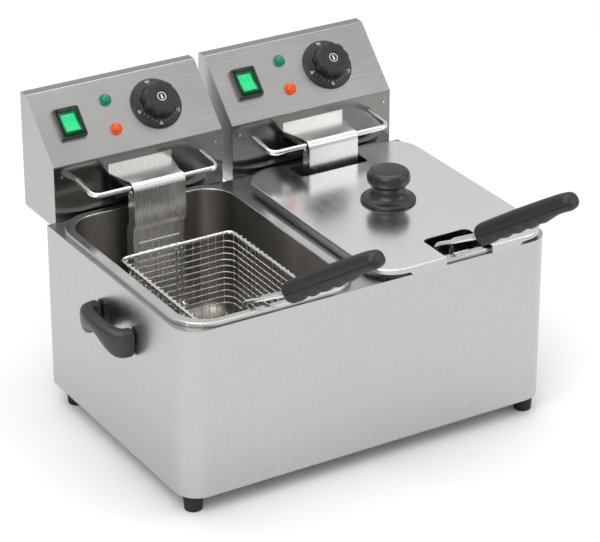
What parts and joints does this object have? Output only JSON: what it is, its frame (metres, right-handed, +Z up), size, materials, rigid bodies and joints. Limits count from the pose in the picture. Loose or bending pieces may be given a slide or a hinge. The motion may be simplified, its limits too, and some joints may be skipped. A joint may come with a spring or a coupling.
{
  "type": "deep fryer",
  "caption": "Countertop electric fryer with twin oil tanks, lift-off control heads, wire baskets with angled grips and a flat lid with a turned knob.",
  "frame": {"origin": "middle of the overall footprint, on the bench under the feet", "axes": "+X to the right, +Y to the back where the control heads are, +Z up"},
  "size_m": [0.502, 0.5044, 0.3316],
  "materials": {
    "casing_steel": "brushed stainless, vertical grain",
    "tank_steel": "satin drawn stainless",
    "head_steel": "brushed stainless, polished lower face",
    "lid_steel": "satin stainless",
    "bracket_steel": "bright brushed stainless",
    "chrome_wire": "polished chrome",
    "screw_steel": "zinc plated",
    "foot_rubber": "matt rubber",
    "handle_plastic": "satin moulded phenolic",
    "grip_plastic": "satin moulded phenolic",
    "knob_plastic": "satin turned plastic",
    "dial_black": "moulded plastic with white scale",
    "gland_plastic": "nylon",
    "switch_black": "gloss black",
    "rocker_green": "lit green lens",
    "cover_clear": "clear green vinyl",
    "lamp_green": "teal lens",
    "lamp_orange": "amber lens",
    "thermostat_metal": "plain",
    "ceramic": "glazed ceramic",
    "element_steel": "tempered tube",
    "copper_bulb": "copper",
    "basket_mesh": "plated wire mesh"
  },
  "bodies": {
    "casing": {"outer_shell": "casing_steel", "top_deck": "casing_steel", "base_plate": "casing_steel", "rear_panel": "casing_steel", "rear_panel_screws": "screw_steel", "feet": "foot_rubber", "foot_screws": "screw_steel", "side_handle_left": "handle_plastic", "handle_screws_left": "screw_steel", "side_handle_right": "handle_plastic", "handle_screws_right": "screw_steel"},
    "tank_left": {"tank_left": "tank_steel"},
    "head_left": {"head_housing_left": "head_steel", "head_rear_cover_left": "head_steel", "head_screws_left": "screw_steel", "cable_gland_left": "gland_plastic", "switch_bezel_left": "switch_black", "switch_cover_left": "cover_clear", "lamp_green_left": "lamp_green", "lamp_orange_left": "lamp_orange", "thermostat_left": "thermostat_metal", "terminal_block_left": "ceramic", "element_bracket_left": "bracket_steel", "basket_rest_left": "chrome_wire", "heating_element_left": "element_steel", "thermostat_bulb_left": "copper_bulb"},
    "rocker_left": {"rocker_left": "rocker_green"},
    "knob_left": {"knob_left": "dial_black", "dial_skirt_left": "dial_black"},
    "basket_left": {"basket_frame_left": "chrome_wire", "basket_mesh_left": "basket_mesh", "handle_stem_left": "chrome_wire", "handle_grip_left": "grip_plastic"},
    "tank_right": {"tank_right": "tank_steel"},
    "head_right": {"head_housing_right": "head_steel", "head_rear_cover_right": "head_steel", "head_screws_right": "screw_steel", "cable_gland_right": "gland_plastic", "switch_bezel_right": "switch_black", "switch_cover_right": "cover_clear", "lamp_green_right": "lamp_green", "lamp_orange_right": "lamp_orange", "thermostat_right": "thermostat_metal", "terminal_block_right": "ceramic", "element_bracket_right": "bracket_steel", "basket_rest_right": "chrome_wire", "heating_element_right": "element_steel", "thermostat_bulb_right": "copper_bulb"},
    "rocker_right": {"rocker_right": "rocker_green"},
    "knob_right": {"knob_right": "dial_black", "dial_skirt_right": "dial_black"},
    "basket_right": {"basket_frame_right": "chrome_wire", "basket_mesh_right": "basket_mesh", "handle_stem_right": "chrome_wire", "handle_grip_right": "grip_plastic"},
    "lid": {"lid": "lid_steel", "lid_knob": "knob_plastic", "lid_knob_screw": "screw_steel"}
  },
  "joints": [
    {"name": "tank_left_lift", "type": "slide", "parent": "casing", "child": "tank_left", "axis": [0, 0, 1], "range_m": [0, 0.16]},
    {"name": "head_left_lift", "type": "slide", "parent": "tank_left", "child": "head_left", "axis": [0, 0, 1], "range_m": [0, 0.18]},
    {"name": "basket_left_lift", "type": "slide", "parent": "head_left", "child": "basket_left", "axis": [0, 0, 1], "range_m": [0, 0.15]},
    {"name": "rocker_left_tilt", "type": "hinge", "parent": "head_left", "child": "rocker_left", "pos_m": [-0.1737, 0.19738, 0.30175], "axis": [1, 0, 0], "range_deg": [0, 16]},
    {"name": "knob_left_turn", "type": "hinge", "parent": "head_left", "child": "knob_left", "pos_m": [-0.0697, 0.19787, 0.30225], "axis": [0, 0.7158, -0.6984], "range_deg": [0, 270]},
    {"name": "tank_right_lift", "type": "slide", "parent": "casing", "child": "tank_right", "axis": [0, 0, 1], "range_m": [0, 0.16]},
    {"name": "head_right_lift", "type": "slide", "parent": "tank_right", "child": "head_right", "axis": [0, 0, 1], "range_m": [0, 0.18]},
    {"name": "basket_right_lift", "type": "slide", "parent": "head_right", "child": "basket_right", "axis": [0, 0, 1], "range_m": [0, 0.01]},
    {"name": "rocker_right_tilt", "type": "hinge", "parent": "head_right", "child": "rocker_right", "pos_m": [0.0417, 0.19738, 0.30175], "axis": [1, 0, 0], "range_deg": [0, 16]},
    {"name": "knob_right_turn", "type": "hinge", "parent": "head_right", "child": "knob_right", "pos_m": [0.1457, 0.19787, 0.30225], "axis": [0, 0.7158, -0.6984], "range_deg": [0, 270]},
    {"name": "lid_tilt", "type": "hinge", "parent": "head_right", "child": "lid", "pos_m": [0.11, 0.1478, 0.2186], "axis": [-1, 0, 0], "range_deg": [0, 32]}
  ]
}
